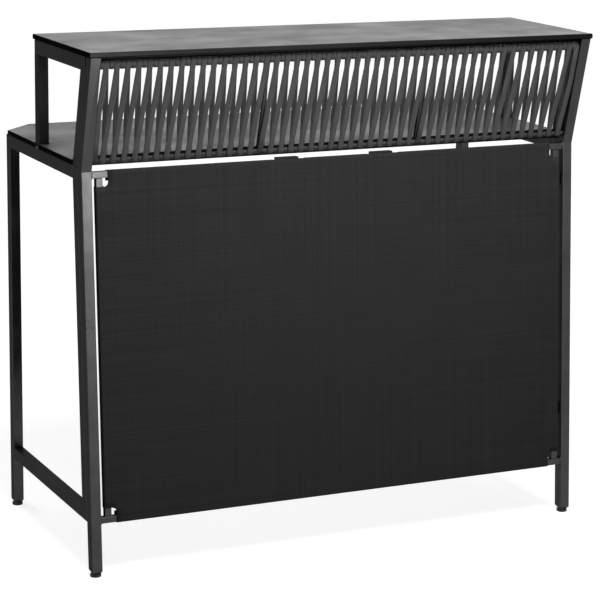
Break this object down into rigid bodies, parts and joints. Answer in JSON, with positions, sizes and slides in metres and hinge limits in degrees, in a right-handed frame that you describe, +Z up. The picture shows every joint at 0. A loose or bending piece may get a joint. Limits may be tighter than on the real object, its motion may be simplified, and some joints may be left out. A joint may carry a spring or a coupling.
{
  "type": "folding portable bar",
  "caption": "Outdoor bar with a rope and fabric front on a kinked frame, a narrow bar top on risers, a deeper worktop behind and side wings that fold in.",
  "frame": {"origin": "middle of the outline on the floor, under the four levelling feet", "axes": "+Z up, +X to the right seen from the guests' side, -Y towards the guests"},
  "size_m": [1.166, 0.607, 1.1],
  "materials": {
    "coating": "fine-textured anthracite powder coat",
    "board": "slate-look laminate with faint clouding",
    "rope": "flat woven outdoor rope",
    "sling": "fine coated mesh fabric, stretched",
    "plastic": "black moulded plastic",
    "steel": "dark coated steel"
  },
  "bodies": {
    "front_frame": {"front_leg_left": "coating", "front_leg_right": "coating", "upper_upright_left": "coating", "upper_upright_right": "coating", "rope_rail_lower": "coating", "rope_rail_upper": "coating", "rope_divider_1": "coating", "rope_divider_2": "coating", "rope_winding_left": "rope", "rope_winding_middle": "rope", "rope_winding_right": "rope", "panel_rail_top": "coating", "panel_rail_bottom": "coating", "panel_bar_left": "coating", "panel_bar_right": "coating", "fabric_panel": "sling", "wing_buffer_left": "plastic", "wing_buffer_right": "plastic", "leg_plug_front_left": "plastic", "leg_plug_front_right": "plastic", "hinge_leg_leaf_lower_left": "steel", "hinge_leg_leaf_lower_right": "steel", "hinge_leg_leaf_upper_left": "steel", "hinge_leg_leaf_upper_right": "steel", "hinge_pin_lower_left": "steel", "hinge_pin_lower_right": "steel", "hinge_pin_upper_left": "steel", "hinge_pin_upper_right": "steel"},
    "wing_left": {"rear_leg_left": "coating", "wing_upright_left": "coating", "shelf_rail_left": "coating", "stretcher_left": "coating", "leg_plug_rear_left": "plastic", "hinge_wing_leaf_lower_left": "steel", "hinge_wing_leaf_upper_left": "steel"},
    "wing_right": {"rear_leg_right": "coating", "wing_upright_right": "coating", "shelf_rail_right": "coating", "stretcher_right": "coating", "leg_plug_rear_right": "plastic", "hinge_wing_leaf_lower_right": "steel", "hinge_wing_leaf_upper_right": "steel"},
    "worktop_board": {"worktop": "board"},
    "bar_top_unit": {"bar_top": "board", "top_rail_left": "coating", "top_rail_right": "coating", "top_rail_front": "coating", "riser_left": "coating", "riser_right": "coating", "riser_plug_left": "plastic", "riser_plug_right": "plastic"},
    "front_left_foot": {"foot_front_left": "plastic"},
    "front_right_foot": {"foot_front_right": "plastic"},
    "rear_left_foot": {"foot_rear_left": "plastic"},
    "rear_right_foot": {"foot_rear_right": "plastic"}
  },
  "joints": [
    {"name": "wing_left_fold", "type": "hinge", "parent": "front_frame", "child": "wing_left", "pos_m": [-0.5537, -0.213, 0.4], "axis": [0, 0, -1], "range_deg": [0, 90]},
    {"name": "wing_right_fold", "type": "hinge", "parent": "front_frame", "child": "wing_right", "pos_m": [0.5537, -0.213, 0.4], "axis": [0, 0, 1], "range_deg": [0, 90]},
    {"name": "worktop_lift", "type": "slide", "parent": "front_frame", "child": "worktop_board", "axis": [0, 0, 1], "range_m": [0, 0.18]},
    {"name": "bar_top_lift", "type": "slide", "parent": "front_frame", "child": "bar_top_unit", "axis": [0, 0, 1], "range_m": [0, 0.26]},
    {"name": "front_left_foot_level", "type": "slide", "parent": "front_frame", "child": "front_left_foot", "axis": [0, 0, -1], "range_m": [0, 0.012]},
    {"name": "front_right_foot_level", "type": "slide", "parent": "front_frame", "child": "front_right_foot", "axis": [0, 0, -1], "range_m": [0, 0.012]},
    {"name": "rear_left_foot_level", "type": "slide", "parent": "wing_left", "child": "rear_left_foot", "axis": [0, 0, -1], "range_m": [0, 0.012]},
    {"name": "rear_right_foot_level", "type": "slide", "parent": "wing_right", "child": "rear_right_foot", "axis": [0, 0, -1], "range_m": [0, 0.012]}
  ]
}
